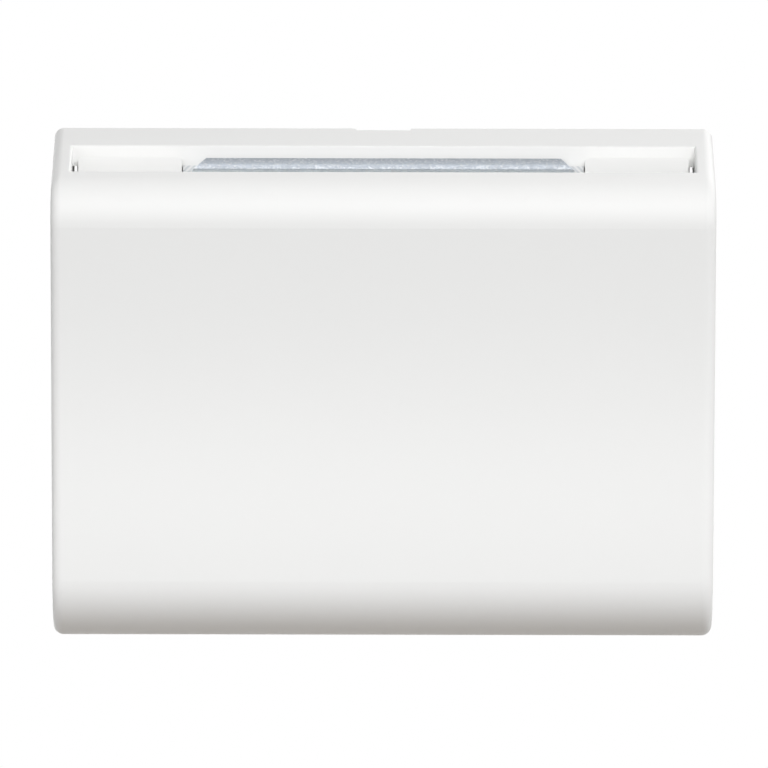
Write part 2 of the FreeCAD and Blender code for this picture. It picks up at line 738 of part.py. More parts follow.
def make_card_lever():
    """Rocker with a nose in the card channel and a tail under the microswitch plunger."""
    body = new_body("card_lever")
    nose_back = "(frame_thickness + plate_thickness)"
    profile = [
        ("(pivot_depth + lever_tail)", LEVER_TOP),
        ("-frame_thickness", LEVER_TOP),
        (f"-({NOSE_DEPTH} - nose_height)", NOSE_TOP),
        (f"-({NOSE_DEPTH} - nose_height / 3)", NOSE_TOP),
        (f"-{NOSE_DEPTH}", NOSE_MIDDLE),
        (f"-({NOSE_DEPTH} - nose_height / 3)", f"({NOSE_TOP} - nose_height)"),
        (f"-{nose_back}", f"({LEVER_UNDER} - nose_fall / 2)"),
        ("(pivot_depth - spring_arm - spring_radius - spring_wire)", LEVER_UNDER),
        ("(pivot_depth + hub_radius)", LEVER_UNDER),
        ("(pivot_depth + lever_tail)", f"({PIVOT} + tail_rise)"),
    ]
    across_width(body, profile, "(lever_width / 2)")
    half = "(lever_width / 2)"
    disc(body, "YZ_Plane", [("pivot_depth", PIVOT, "hub_radius")], f"-{half}", f"2 * {half}")
    disc(body, "YZ_Plane", [("pivot_depth", PIVOT, "(pin_radius + running_clearance)")],
         f"-{half}", f"2 * {half}", cut=True)
    limit = -number(f"{NOSE_DEPTH} - nose_height")
    round_off(body, lambda edge: runs_along(edge, ALONG_X) and edge.CenterOfMass.y < limit - 0.01,
              "nose_round")
    return body


def make_lever_pin():
    """Steel pin of the lever with chamfered ends."""
    body = new_body("lever_pin")
    disc(body, "YZ_Plane", [("pivot_depth", PIVOT, "(pin_radius - running_clearance / 5)")],
         f"-({BRACKET_SIDE} + bracket_width + pin_proud)", f"2 * ({BRACKET_SIDE} + bracket_width + pin_proud)")
    round_off(body, lambda edge: edge.Curve.TypeId == "Part::GeomCircle", "pin_chamfer", "Chamfer")
    return body


def arc_between(start, corner, end):
    """Arc from start to end whose end tangents meet at a corner."""
    weight = (end - start).Length / 2 / (corner - start).Length
    middle = (start + corner * (2 * weight) + end) / (2 + 2 * weight)
    return Part.Arc(start, middle, end).toShape()


def spring_path(radius, pitch, turns):
    """Rising coil of arcs, two to each quarter turn, that leave each other without a kink."""
    edges = []
    steps = round(4 * turns)
    for step in range(steps):
        ends = []
        for angle in (step * math.pi / 2, (step + 1) * math.pi / 2):
            point = Vector(radius * math.cos(angle), radius * math.sin(angle),
                           pitch * angle / (2 * math.pi))
            way = Vector(-radius * math.sin(angle), radius * math.cos(angle), pitch / (2 * math.pi))
            ends.append((point, way.normalize()))
        (start, leaving), (end, arriving) = ends
        chord = end - start
        both = leaving + arriving
        spread = 2 * (1 - leaving.dot(arriving))
        along = chord.dot(both)
        reach = (math.sqrt(along * along + spread * chord.dot(chord)) - along) / spread
        first = start + leaving * reach
        second = end - arriving * reach
        seam = (first + second) / 2
        edges.append(arc_between(start, first, seam))
        edges.append(arc_between(seam, second, end))
    return Part.Wire(edges)


def make_return_spring():
    """Compression spring between the box floor and the lever, its wire swept along a coil."""
    spring = doc.addObject("Part::Feature", "return_spring")
    spring.Label = "return_spring"
    wire = number("spring_wire / 2")
    radius = number("spring_radius")
    turns = number("spring_turns")
    room = number(f"{LEVER_UNDER} + {BOX_INSIDE} - spring_wire - running_clearance")
    print("spring gap between turns", round(room / turns - 2 * wire, 2))
    path = spring_path(radius, room / turns, turns)
    ring = Part.Wire([Part.makeCircle(wire, Vector(radius, 0, 0), Vector(0, 1, 0))])
    spring.Shape = path.makePipeShell([ring], True, False)
    spring.Placement.Base = Vector(0, number("pivot_depth - spring_arm"), wire - number(BOX_INSIDE))
    return spring


# Microswitch

def make_switch_body():
    """Sealed snap-action switch with two mounting holes and a bore for its plunger."""
    body = new_body("microswitch_body")
    outline = rectangle(f"-{SWITCH_SIDE}", SWITCH_SIDE, SWITCH_UNDER, SWITCH_TOP)
    block(body, "XZ_Plane", [outline], f"-{SWITCH_BACK}", "switch_thickness")
    round_off(body, lambda edge: runs_along(edge, ALONG_Y), "case_chamfer", "Chamfer")
    holes = [(f"{side}switch_hole_spacing / 2", STUD_HEIGHT, "(stud_radius + running_clearance)")
             for side in ("-", "")]
    disc(body, "XZ_Plane", holes, f"-{SWITCH_BACK}", "switch_thickness", cut=True)
    disc(body, "XY_Plane", [("0", PLUNGER_DEPTH, "(plunger_radius + running_clearance)")],
         SWITCH_UNDER, "(plunger_stroke + side_clearance)", cut=True)
    # The parting line between case and lid is a shallow groove round the narrow sides.
    seam = f"({SWITCH_BACK} - switch_thickness / 3)"
    sketch = new_sketch(body, "XZ_Plane", f"-{seam}")
    add_outline(sketch, rectangle(f"-2 * {SWITCH_SIDE}", f"2 * {SWITCH_SIDE}",
                                  f"({SWITCH_UNDER} - switch_height)", f"({SWITCH_TOP} + switch_height)"))
    add_outline(sketch, rectangle(f"-({SWITCH_SIDE} - seam_depth)", f"({SWITCH_SIDE} - seam_depth)",
                                  f"({SWITCH_UNDER} + seam_depth)", f"({SWITCH_TOP} - seam_depth)"))
    extrude(body, sketch, "seam_depth", True)
    return body


def make_plunger():
    """Round button with a tapered tip that the lever's tail lifts."""
    body = new_body("microswitch_plunger")
    disc(body, "XY_Plane", [("0", PLUNGER_DEPTH, "(plunger_radius - running_clearance / 5)")],
         PLUNGER_TIP, "(plunger_reach + plunger_stroke / 2)")
    tip = number(PLUNGER_TIP)
    round_off(body, lambda edge: edge.Curve.TypeId == "Part::GeomCircle"
              and edge.CenterOfMass.z < tip + 0.01, "plunger_chamfer", "Chamfer")
    return body


def make_tab(label, step):
    """Blade terminal that stands on the microswitch."""
    body = new_body(label)
    middle = f"({step} * tab_spacing)"
    outline = rectangle(f"({middle} - tab_width / 2)", f"({middle} + tab_width / 2)", SWITCH_TOP,
                        f"({SWITCH_TOP} + tab_height)")
    block(body, "XZ_Plane", [outline], f"-{TAB_BACK}", "tab_thickness")
    top = number(f"{SWITCH_TOP} + tab_height")
    round_off(body, lambda edge: runs_along(edge, ALONG_Y) and edge.CenterOfMass.z > top - 0.01,
              "tab_chamfer", "Chamfer")
    hole = [(middle, f"({SWITCH_TOP} + tab_hole_rise)", "tab_hole_radius")]
    disc(body, "XZ_Plane", hole, f"-{TAB_BACK}", "tab_thickness", cut=True)
    return body


def make_washers():
    """Push-on washers that hold the microswitch on its studs."""
    body = new_body("switch_washers")
    places = [(f"{side}switch_hole_spacing / 2", STUD_HEIGHT) for side in ("-", "")]
    start = f"-{SWITCH_FRONT}"
    disc(body, "XZ_Plane", [(across, up, "washer_radius") for across, up in places], start,
         "washer_thickness")
    disc(body, "XZ_Plane", [(across, up, "(stud_radius + running_clearance / 5)") for across, up in places],
         start, "washer_thickness", cut=True)
    return body


# Terminals

def make_clamp(label, step):
    """Brass pillar clamp with a wire bore and a tapped hole for its screw."""
    body = new_body(label)
    outline = rectangle("-clamp_width / 2", "clamp_width / 2", CLAMP_UNDER, CLAMP_TOP)
    block(body, "XZ_Plane", [outline], f"-{BOX_BACK}", "clamp_depth")
    round_off(body, lambda edge: runs_along(edge, ALONG_Y), "clamp_chamfer", "Chamfer")
    disc(body, "XZ_Plane", [("0", WIRE_HEIGHT, "wire_radius")], f"-{BOX_BACK}", "clamp_depth", cut=True)
    disc(body, "XY_Plane", [("0", f"({CLAMP_FRONT} + clamp_depth / 2)",
                             "(terminal_screw_radius + running_clearance)")],
         WIRE_HEIGHT, "wire_drop", cut=True)
    body.setExpression("Placement.Base.x", bound(f"{step} * {CLAMP_PITCH}"))
    return body


def make_terminal_screws():
    """Four slotted headless screws, one in the top of each clamp."""
    body = new_body("terminal_screws")
    depth = f"({CLAMP_FRONT} + clamp_depth / 2)"
    tip = f"({WIRE_HEIGHT} + wire_radius)"
    middles = [f"({step} * {CLAMP_PITCH})" for step in CLAMP_STEPS]
    disc(body, "XY_Plane", [(middle, depth, "terminal_screw_radius") for middle in middles],
         tip, f"{CLAMP_TOP} + terminal_screw_rise - {tip}")
    slots = [rectangle(f"({middle} - terminal_screw_radius)", f"({middle} + terminal_screw_radius)",
                       f"({depth} - slot_width / 2)", f"({depth} + slot_width / 2)") for middle in middles]
    block(body, "XY_Plane", slots, f"{CLAMP_TOP} + terminal_screw_rise / 3", "(terminal_screw_rise * 2 / 3)",
          cut=True)
    return body


def make_link(label, step):
    """Bent strip from a microswitch tab to the front of a clamp."""
    body = new_body(label)
    tab = f"({step} * tab_spacing)"
    clamp = f"(({step} - 0.5) * {CLAMP_PITCH})"
    bend = f"({TAB_BACK} + tab_thickness)"
    outline = [
        (f"({clamp} - tab_thickness)", TAB_BACK),
        (tab, TAB_BACK),
        (tab, bend),
        (clamp, bend),
        (clamp, CLAMP_FRONT),
        (f"({clamp} - tab_thickness)", CLAMP_FRONT),
    ]
    block(body, "XY_Plane", [outline], f"({CLAMP_TOP} - link_drop - link_height)", "link_height")
    return body


# Spring catches

def make_catch(label, up):
    """Bent steel strip round the back edge of the box with a ramp behind the support frame."""
    body = new_body(label)
    side = "" if up > 0 else "-"
    level = BOX_TOP
    top = f"({level} + catch_thickness)"
    back = f"({BOX_DEPTH} + catch_thickness)"
    foot = "(support_thickness + catch_ramp)"
    outline = [
        (foot, level),
        (BOX_DEPTH, level),
        (BOX_DEPTH, f"({level} - catch_return)"),
        (back, f"({level} - catch_return)"),
        (back, top),
        (foot, top),
        ("support_thickness", f"({top} + catch_rise)"),
        ("support_thickness", f"({top} + catch_rise - catch_thickness)"),
    ]
    corners = [(depth, f"{side}{height}") for depth, height in outline]
    block(body, "YZ_Plane", [corners], "-catch_width / 2", "catch_width")
    return body


# Assembly

nodes = [
    make_front_cover(),
    make_base_frame(),
    make_guide_plate(),
    make_card_guide("card_guide_left", -1),
    make_card_guide("card_guide_right", 1),
    make_light_bar(),
    make_light_guide(),
    make_circuit_board(),
    make_lamp("indicator_lamp_left", "-"),
    make_lamp("indicator_lamp_right", ""),
    on_board("board_resistors", [("-lamp_spacing / 2", f"({BOARD_TOP} - board_height / 2)"),
                                 ("lamp_spacing / 2", f"({BOARD_TOP} - board_height / 2)")],
             "lamp_width", "resistor_height", "resistor_depth"),
    on_board("board_rectifier", [("0", f"({BOARD_TOP} - board_height / 2)")],
             "rectifier_width", "rectifier_height", "rectifier_depth"),
    make_lead("lamp_lead_left", "-"),
    make_lead("lamp_lead_right", ""),
    make_housing(),
    make_housing_screws(),
    make_card_lever(),
    make_lever_pin(),
    make_return_spring(),
    make_switch_body(),
    make_plunger(),
    make_tab("common_tab", -1),
    make_tab("open_tab", 0),
    make_tab("closed_tab", 1),
    make_washers(),
    make_link("common_link", -1),
    make_link("open_link", 0),
    make_link("closed_link", 1),
    make_terminal_screws(),
    make_catch("upper_catch", 1),
    make_catch("lower_catch", -1),
]
for place, step in enumerate(CLAMP_STEPS, start=1):
    nodes.append(make_clamp(f"terminal_clamp_{place}", step))

doc.recompute()
for item in doc.Objects:
    if "Invalid" in item.State or "Error" in item.State:
        raise RuntimeError(f"{item.Name} ({item.Label}) failed: {item.State}")

os.makedirs("parts", exist_ok=True)
for node in nodes:
    shape = node.Shape
    if shape.isNull() or not shape.isValid() or shape.Volume <= 0:
        raise RuntimeError(f"{node.Label} has no sound solid")
    shape.exportStep(f"parts/{node.Label}.step")
    print(node.Label, len(shape.Solids), round(shape.Volume, 1))
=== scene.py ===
import math

import bmesh
import bpy
from bpy.props import FloatProperty, FloatVectorProperty, IntProperty, PointerProperty
from mathutils import Matrix, Vector


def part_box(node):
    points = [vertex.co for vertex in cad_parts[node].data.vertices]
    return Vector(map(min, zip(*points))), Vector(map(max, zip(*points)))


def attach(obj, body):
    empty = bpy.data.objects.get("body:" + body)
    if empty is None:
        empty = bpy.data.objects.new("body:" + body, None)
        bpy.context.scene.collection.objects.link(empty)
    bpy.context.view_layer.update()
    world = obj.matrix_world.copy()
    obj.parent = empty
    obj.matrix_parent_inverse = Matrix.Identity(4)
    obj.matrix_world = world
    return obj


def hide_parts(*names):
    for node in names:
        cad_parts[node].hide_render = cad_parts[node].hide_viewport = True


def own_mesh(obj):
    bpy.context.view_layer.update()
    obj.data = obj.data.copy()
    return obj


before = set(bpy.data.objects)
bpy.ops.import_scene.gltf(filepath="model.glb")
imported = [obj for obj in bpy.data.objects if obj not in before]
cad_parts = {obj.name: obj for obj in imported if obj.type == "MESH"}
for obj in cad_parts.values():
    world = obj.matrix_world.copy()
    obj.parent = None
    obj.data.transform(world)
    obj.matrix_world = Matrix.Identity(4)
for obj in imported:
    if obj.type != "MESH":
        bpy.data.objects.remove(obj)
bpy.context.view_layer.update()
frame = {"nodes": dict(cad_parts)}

bl_info = {
    "name": "Key card switch",
    "version": (1, 0, 0),
    "blender": (4, 5, 0),
    "location": "View3D > Sidebar > Key card switch",
    "description": "Finishes, coil spring, solder joints and studio for a wall key card switch",
    "category": "Object",
}

MM = 0.001

# Boxes of the CAD pieces that the new pieces follow
SPRING_LOW, SPRING_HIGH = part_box("return_spring")
LEAD_LOW, LEAD_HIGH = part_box("lamp_lead_right")
BOARD_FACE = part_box("circuit_board")[0].y

# Heights on the light bar: its top, its crease and the brow between them, where its painted highlight is
# strongest
BAR_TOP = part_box("light_bar")[1].z
BAR_CREASE = BAR_TOP - 1.05 * MM
BAR_BROW = BAR_CREASE + 0.42 * MM

# Solder joint from its foot up, in shares of its radius and height, and its tip in lead radii
SOLDER_PROFILE = ((1.0, 0.0), (0.72, 0.12), (0.5, 0.5))
SOLDER_TIP = 1.02

# Return spring: rise of a closed turn in wire radii, and straight pieces in a turn
CLOSED_PITCH = 2.02
TURN_STEPS = 40

# Refractive index of polycarbonate, and width of the slow sink marks in a moulding, in millimetres
POLYCARBONATE_IOR = 1.585
SINK_MARK = 14

WHITE = (1.0, 1.0, 1.0)
FLOOR_SIDES = 96


# Colours and settings

def linear(text):
    """Linear colour of an sRGB hex value."""
    channels = [int(text[start:start + 2], 16) / 255 for start in (1, 3, 5)]
    return tuple(value / 12.92 if value <= 0.04045 else ((value + 0.055) / 1.055) ** 2.4
                 for value in channels)


def colour(name, text, note):
    """Colour setting with its default from an sRGB hex value."""
    return FloatVectorProperty(name=name, description=note, subtype="COLOR", size=3, min=0, max=1,
                               default=linear(text))


class KeyCardColours(bpy.types.PropertyGroup):
    """Colours of the finishes."""
    cover: colour("Cover", "#F3F3F2", "Polished white of the front cover")
    guides: colour("Card guides", "#FDFDFC", "White of the two card guides")
    frame: colour("Frame", "#F3F2ED", "Satin white of the base frame and the guide plate")
    bar: colour("Light bar", "#B9C0C9", "Pearl silver of the light bar")
    bar_flake: colour("Flakes", "#F0F2F3", "Brightest flakes in the light bar")
    clear: colour("Light guide", "#F4F8FB", "Tint of the clear light guide")
    housing: colour("Housing", "#7E8183", "Grey of the mechanism housing")
    switch: colour("Microswitch", "#17181A", "Black of the microswitch body")
    plunger: colour("Plunger", "#A5211B", "Red of the microswitch plunger")
    lever: colour("Lever", "#E7E4DA", "Natural white of the card lever")
    brass: colour("Brass", "#D9B15E", "Plain brass of clamps and links")
    tin: colour("Tin", "#CFCDC6", "Tin on the tabs and the lamp leads")
    zinc: colour("Zinc", "#C4C8CC", "Zinc plate on screws, washers and pin")
    strip: colour("Spring steel", "#C2C4C6", "Rolled steel strip of the catches")
    wire: colour("Spring wire", "#9A9B9D", "Drawn steel wire of the return spring")
    resist: colour("Solder resist", "#15613A", "Green solder resist of the circuit board")
    lamp: colour("Lamp body", "#F1EFE7", "Moulded white lamp body")
    phosphor: colour("Lamp window", "#E8D35A", "Yellow lamp window")
    floor: colour("Floor", "#EFEFEE", "Pale studio floor")
    warm_light: colour("Warm light", "#FFDAA8", "Tint of the strip light under the chin")


class KeyCardSizes(bpy.types.PropertyGroup):
    """Sizes of what is modelled here."""
    wire_radius: FloatProperty(
        name="Wire radius", description="Half the thickness of the spring wire",
        default=0.3 * MM, min=0.1 * MM, max=0.5 * MM, subtype="DISTANCE", unit="LENGTH", precision=6)
    spring_turns: FloatProperty(
        name="Spring turns", description="Open turns between the two closed ends",
        default=2.5, min=1, max=6)
    closed_turns: FloatProperty(
        name="Closed turns", description="Part of a turn that lies flat at each end",
        default=0.75, min=0.25, max=1)
    spring_keep: FloatProperty(
        name="Spring at full travel", description="Share of its length that the pressed spring keeps",
        default=0.7, min=0.3, max=1, subtype="FACTOR")
    solder_radius: FloatProperty(
        name="Solder radius", description="Radius of a solder joint's foot on the board",
        default=1.0 * MM, min=0.5 * MM, max=2 * MM, subtype="DISTANCE", unit="LENGTH", precision=6)
    solder_height: FloatProperty(
        name="Solder height", description="Height of a solder joint over the board",
        default=0.55 * MM, min=0.2 * MM, max=1 * MM, subtype="DISTANCE", unit="LENGTH", precision=6)
    round_steps: IntProperty(
        name="Steps in a circle", description="Flat sides of a small round section",
        default=20, min=8, max=64)


class KeyCardStudio(bpy.types.PropertyGroup):
    """Camera, lights and floor."""
    distance: FloatProperty(
        name="Camera distance", description="From the wall plane to the camera",
        default=1.0, min=0.3, max=5, subtype="DISTANCE", unit="LENGTH")
    lens: FloatProperty(
        name="Focal length", description="Focal length on a 36 mm sensor",
        default=512.37, min=50, max=2000, unit="CAMERA")
    roll: FloatProperty(
        name="Camera roll", description="Turn of the camera about its own axis",
        default=math.radians(0.12), subtype="ANGLE")
    shift_across: FloatProperty(
        name="Shift across", description="Sideways shift of the picture, as a share of its width",
        default=0.0013, min=-0.1, max=0.1, precision=5)
    shift_up: FloatProperty(
        name="Shift up", description="Upward shift of the picture, as a share of its width",
        default=-0.00296, min=-0.1, max=0.1, precision=5)
    softbox_distance: FloatProperty(
        name="Softbox distance", description="From the object to each softbox",
        default=0.9, min=0.2, max=5, subtype="DISTANCE", unit="LENGTH")
    strip_length: FloatProperty(
        name="Strip length", description="Length of the strip lights",
        default=0.16, min=0.02, max=1, subtype="DISTANCE", unit="LENGTH")
    key_power: FloatProperty(
        name="Key", description="Power of the softbox in front, above and to the right",
        default=4.25, min=0, subtype="POWER")
    left_power: FloatProperty(
        name="Left", description="Power of the softbox in front and to the left",
        default=2.03, min=0, subtype="POWER")
    right_power: FloatProperty(
        name="Right", description="Power of the softbox at the right side",
        default=2.72, min=0, subtype="POWER")
    rear_power: FloatProperty(
        name="Rear", description="Power of the softbox behind, above and to the right",
        default=3.0, min=0, subtype="POWER")
    back_power: FloatProperty(
        name="Back", description="Power of the low softbox behind",
        default=3.5, min=0, subtype="POWER")
    upper_power: FloatProperty(
        name="Upper strip", description="Power of the strip light close to the shoulder",
        default=0.0058, min=0, subtype="POWER")
    lower_power: FloatProperty(
        name="Lower strip", description="Power of the strip light close to the lower front",
        default=0.00525, min=0, subtype="POWER")
    foot_power: FloatProperty(
        name="Foot strip", description="Power of the warm strip light under and behind the chin",
        default=0.006, min=0, subtype="POWER")
    ambient: FloatProperty(
        name="Surrounding light", description="Brightness of the white surround on the object",
        default=0.2, min=0, max=2)
    floor_drop: FloatProperty(
        name="Floor drop", description="Floor below the middle of the object",
        default=0.5, min=0.05, max=2, subtype="DISTANCE", unit="LENGTH")
    floor_radius: FloatProperty(
        name="Floor radius", description="Reach of the round floor",
        default=5, min=1, max=20, subtype="DISTANCE", unit="LENGTH")


# Nodes and finishes

def add_node(tree, kind, inputs=None, **settings):
    """Adds a node; an input that is a socket is linked, and any other value is set."""
    node = tree.nodes.new(kind)
    for name, value in settings.items():
        setattr(node, name, value)
    for name, value in (inputs or {}).items():
        if isinstance(value, bpy.types.NodeSocket):
            tree.links.new(value, node.inputs[name])
        else:
            node.inputs[name].default_value = value
    return node


def new_material(name):
    """Material with an empty node tree and its Object coordinates."""
    material = bpy.data.materials.new(name)
    material.use_nodes = True
    tree = material.node_tree
    tree.nodes.clear()
    place = add_node(tree, "ShaderNodeTexCoord").outputs["Object"]
    return material, tree, place


def close_material(tree, shader):
    """Links the shader to the material's output."""
    add_node(tree, "ShaderNodeOutputMaterial", {"Surface": shader.outputs[0]})


def per_mm(size):
    """Texture scale at which one cell of the pattern measures size millimetres."""
    return 1000 / size


def rgba(value):
    """Colour setting with full opacity."""
    return (*value, 1.0)


def shifted(value, factor):
    """The same colour, lighter or darker."""
    return tuple(min(1.0, channel * factor) for channel in value)


def blended(tree, factor, first, second):
    """Colour that goes from first to second with a pattern."""
    mix = add_node(tree, "ShaderNodeMix", {0: factor, 6: first, 7: second}, data_type="RGBA")
    return mix.outputs[2]


def between(tree, value, low, high):
    """Number that goes from low to high with a pattern."""
    spread = add_node(tree, "ShaderNodeMapRange", {"Value": value, "To Min": low, "To Max": high})
    return spread.outputs["Result"]


def moulded(name, tone, roughness, ior, grain, depth, cloud):
    """Injection moulded plastic: a fine eroded grain, slow sink marks and a slight change of tone.

    grain and depth are the grain's size and depth in millimetres, and cloud is the change of tone.
    """
    material, tree, place = new_material(name)
    slow = add_node(tree, "ShaderNodeTexNoise", {"Vector": place, "Scale": per_mm(SINK_MARK), "Detail": 2.0})
    fine = add_node(tree, "ShaderNodeTexNoise", {"Vector": place, "Scale": per_mm(grain), "Detail": 3.0})
    body = blended(tree, slow.outputs["Fac"], rgba(shifted(tone, 1 - cloud)), rgba(shifted(tone, 1 + cloud)))
    rough = between(tree, fine.outputs["Fac"], roughness * 0.85, roughness * 1.15)
    waves = add_node(tree, "ShaderNodeBump",
                     {"Height": slow.outputs["Fac"], "Distance": 4 * depth * MM, "Strength": 0.5})
    bump = add_node(tree, "ShaderNodeBump",
                    {"Height": fine.outputs["Fac"], "Distance": depth * MM, "Strength": 1.0,
                     "Normal": waves.outputs["Normal"]})
    shader = add_node(tree, "ShaderNodeBsdfPrincipled", {
        "Base Color": body, "Roughness": rough, "Normal": bump.outputs["Normal"], "IOR": ior})
    close_material(tree, shader)
    return material


def worked_metal(name, tone, roughness, line, stretch, depth):
    """Metal with fine lines along one direction and small changes of tone.

    line and depth are the lines' width and depth in millimetres, and stretch is smallest along them.
    """
    material, tree, place = new_material(name)
    lined = add_node(tree, "ShaderNodeMapping", {"Vector": place, "Scale": stretch})
    lines = add_node(tree, "ShaderNodeTexNoise", {
        "Vector": lined.outputs["Vector"], "Scale": per_mm(line), "Detail": 4.0, "Roughness": 0.6})
    spots = add_node(tree, "ShaderNodeTexNoise", {"Vector": place, "Scale": per_mm(1.8), "Detail": 3.0})
    body = blended(tree, spots.outputs["Fac"], rgba(shifted(tone, 0.86)), rgba(shifted(tone, 1.1)))
    rough = between(tree, lines.outputs["Fac"], roughness * 0.7, roughness * 1.3)
    bump = add_node(tree, "ShaderNodeBump",
                    {"Height": lines.outputs["Fac"], "Distance": depth * MM, "Strength": 1.0})
    shader = add_node(tree, "ShaderNodeBsdfPrincipled", {
        "Base Color": body, "Metallic": 1.0, "Roughness": rough, "Normal": bump.outputs["Normal"]})
    close_material(tree, shader)
    return material


def pearl_polycarbonate(name, tone, flake_tone):
    """Polycarbonate with aluminium flakes: each flake lies at its own angle, so some catch the light.

    Along its brow the base colour is painted paler, a painted highlight. The strip under its crease is
    painted lighter, painted light where the cover's lip casts shade.
    """
    material, tree, place = new_material(name)
    height = add_node(tree, "ShaderNodeSeparateXYZ", {"Vector": place}).outputs["Z"]
    # Painted highlight: a band along the brow, strongest at BAR_BROW, gets a paler base colour.
    above = add_node(tree, "ShaderNodeMapRange", {
        "Value": height, "From Min": BAR_BROW, "From Max": BAR_TOP - 0.12 * MM,
        "To Min": 1.0, "To Max": 0.0})
    below = add_node(tree, "ShaderNodeMapRange", {
        "Value": height, "From Min": BAR_CREASE, "From Max": BAR_BROW,
        "To Min": 0.0, "To Max": 1.0})
    painted_brow_highlight = add_node(tree, "ShaderNodeMath", {0: above.outputs["Result"], 1: below.outputs["Result"]},
                    operation="MULTIPLY")
    # Painted light: the strip just under the crease, in the shade of the cover's lip, gets a lighter base
    # colour.
    under = add_node(tree, "ShaderNodeMapRange", {
        "Value": height, "From Min": BAR_CREASE - 0.05 * MM, "From Max": BAR_CREASE + 0.08 * MM,
        "To Min": 1.0, "To Max": 0.0})
    # Real flakes are about 0.05 mm; they are drawn three times as coarse, so that they show.
    flakes = add_node(tree, "ShaderNodeTexVoronoi", {"Vector": place, "Scale": per_mm(0.16)})
    patches = add_node(tree, "ShaderNodeTexNoise", {"Vector": place, "Scale": per_mm(0.5), "Detail": 4.0})
    split = add_node(tree, "ShaderNodeSeparateColor", {"Color": flakes.outputs["Color"]})
    bright = add_node(tree, "ShaderNodeMath", {0: split.outputs["Red"], 1: 3.0}, operation="POWER")
    # Darkest and lightest patch of the bar's own tone, of its brow with the painted highlight and of the
    # strip under its crease with painted light.
    plain_bar_tone, pale, painted_crease_light = [
        blended(tree, patches.outputs["Fac"], rgba(shifted(tone, dark)), rgba(shifted(tone, light)))
        for dark, light in ((0.77, 0.99), (1.2, 1.56), (1.5, 1.9))]
    # The painted highlight and the painted light are mixed into the bar's own tone here.
    ground = blended(tree, painted_brow_highlight.outputs[0], plain_bar_tone, pale)
    ground = blended(tree, under.outputs["Result"], ground, painted_crease_light)
    body = blended(tree, between(tree, bright.outputs[0], 0.0, 0.5), ground, rgba(flake_tone))
    tilt = add_node(tree, "ShaderNodeVectorMath", {0: flakes.outputs["Color"], 1: (-0.5, -0.5, -0.5)},
                    operation="ADD")
    tilt = add_node(tree, "ShaderNodeVectorMath", {0: tilt.outputs[0], "Scale": 0.2}, operation="SCALE")
    face = add_node(tree, "ShaderNodeNewGeometry").outputs["Normal"]
    lean = add_node(tree, "ShaderNodeVectorMath", {0: face, 1: tilt.outputs[0]}, operation="ADD")
    lean = add_node(tree, "ShaderNodeVectorMath", {0: lean.outputs[0]}, operation="NORMALIZE")
    shader = add_node(tree, "ShaderNodeBsdfPrincipled", {
        "Base Color": body, "Metallic": 0.35, "Roughness": 0.5, "IOR": POLYCARBONATE_IOR,
        "Normal": lean.outputs[0]})
    close_material(tree, shader)
    return material


def clear_polycarbonate(name, tone):
    """Polycarbonate with a little white in it and flow lines. Its slanting facets, which turn the light out,
    are painted as lighter and darker bands of painted light and shade.
    """
    material, tree, place = new_material(name)
    flow = add_node(tree, "ShaderNodeMapping", {"Vector": place, "Scale": (1.0, 1.0, 4.0)})
    lines = add_node(tree, "ShaderNodeTexNoise", {
        "Vector": flow.outputs["Vector"], "Scale": per_mm(1.6), "Detail": 2.0, "Distortion": 0.6})
    bump = add_node(tree, "ShaderNodeBump",
                    {"Height": lines.outputs["Fac"], "Distance": 0.03 * MM, "Strength": 1.0})
    rough = between(tree, lines.outputs["Fac"], 0.03, 0.12)
    # The painted facet bands lean like the light bar's slanted ends, mirrored left and right of the middle.
    halves = add_node(tree, "ShaderNodeVectorMath", {0: place}, operation="ABSOLUTE")
    # A wave texture runs through ten radians per unit, so this scale makes one painted facet band every 0.5
    # mm.
    painted_facet_shade = add_node(tree, "ShaderNodeTexWave", {
        "Vector": halves.outputs[0], "Scale": per_mm(0.5) * 2 * math.pi / 10, "Distortion": 1.2,
        "Detail": 1.0, "Detail Scale": 0.3}, bands_direction="DIAGONAL")
    # Painted light and shade: each facet band is painted lighter or darker, as the facets would turn the
    # light.
    body = blended(tree, painted_facet_shade.outputs["Fac"], rgba(shifted(tone, 0.84)), rgba(shifted(tone, 1.12)))
    shader = add_node(tree, "ShaderNodeBsdfPrincipled", {
        "Base Color": body, "Roughness": rough, "Normal": bump.outputs["Normal"],
        "IOR": POLYCARBONATE_IOR, "Transmission Weight": 0.08})
    close_material(tree, shader)
    return material


def coated_board(name, tone):
    """Glass-epoxy board under green solder resist: copper tracks show through as paler bands."""
    material, tree, place = new_material(name)
    turned = add_node(tree, "ShaderNodeMapping", {"Vector": place, "Rotation": (math.radians(90), 0, 0)})
    tracks = add_node(tree, "ShaderNodeTexBrick", {
        "Vector": turned.outputs["Vector"], "Scale": 1.0, "Mortar Size": 0.35 * MM,
        "Brick Width": 7 * MM, "Row Height": 2.6 * MM, "Mortar Smooth": 0.1})
    weave = add_node(tree, "ShaderNodeTexNoise", {"Vector": place, "Scale": per_mm(0.4), "Detail": 2.0})
    ground = blended(tree, weave.outputs["Fac"], rgba(shifted(tone, 0.85)), rgba(shifted(tone, 1.1)))
    body = blended(tree, tracks.outputs["Fac"], ground, rgba(shifted(tone, 1.7)))
    bump = add_node(tree, "ShaderNodeBump",
                    {"Height": tracks.outputs["Fac"], "Distance": 0.02 * MM, "Strength": 1.0})
    shader = add_node(tree, "ShaderNodeBsdfPrincipled", {
        "Base Color": body, "Roughness": 0.32, "Normal": bump.outputs["Normal"], "IOR": 1.5,
        "Coat Weight": 0.4, "Coat Roughness": 0.15})
    close_material(tree, shader)
    return material


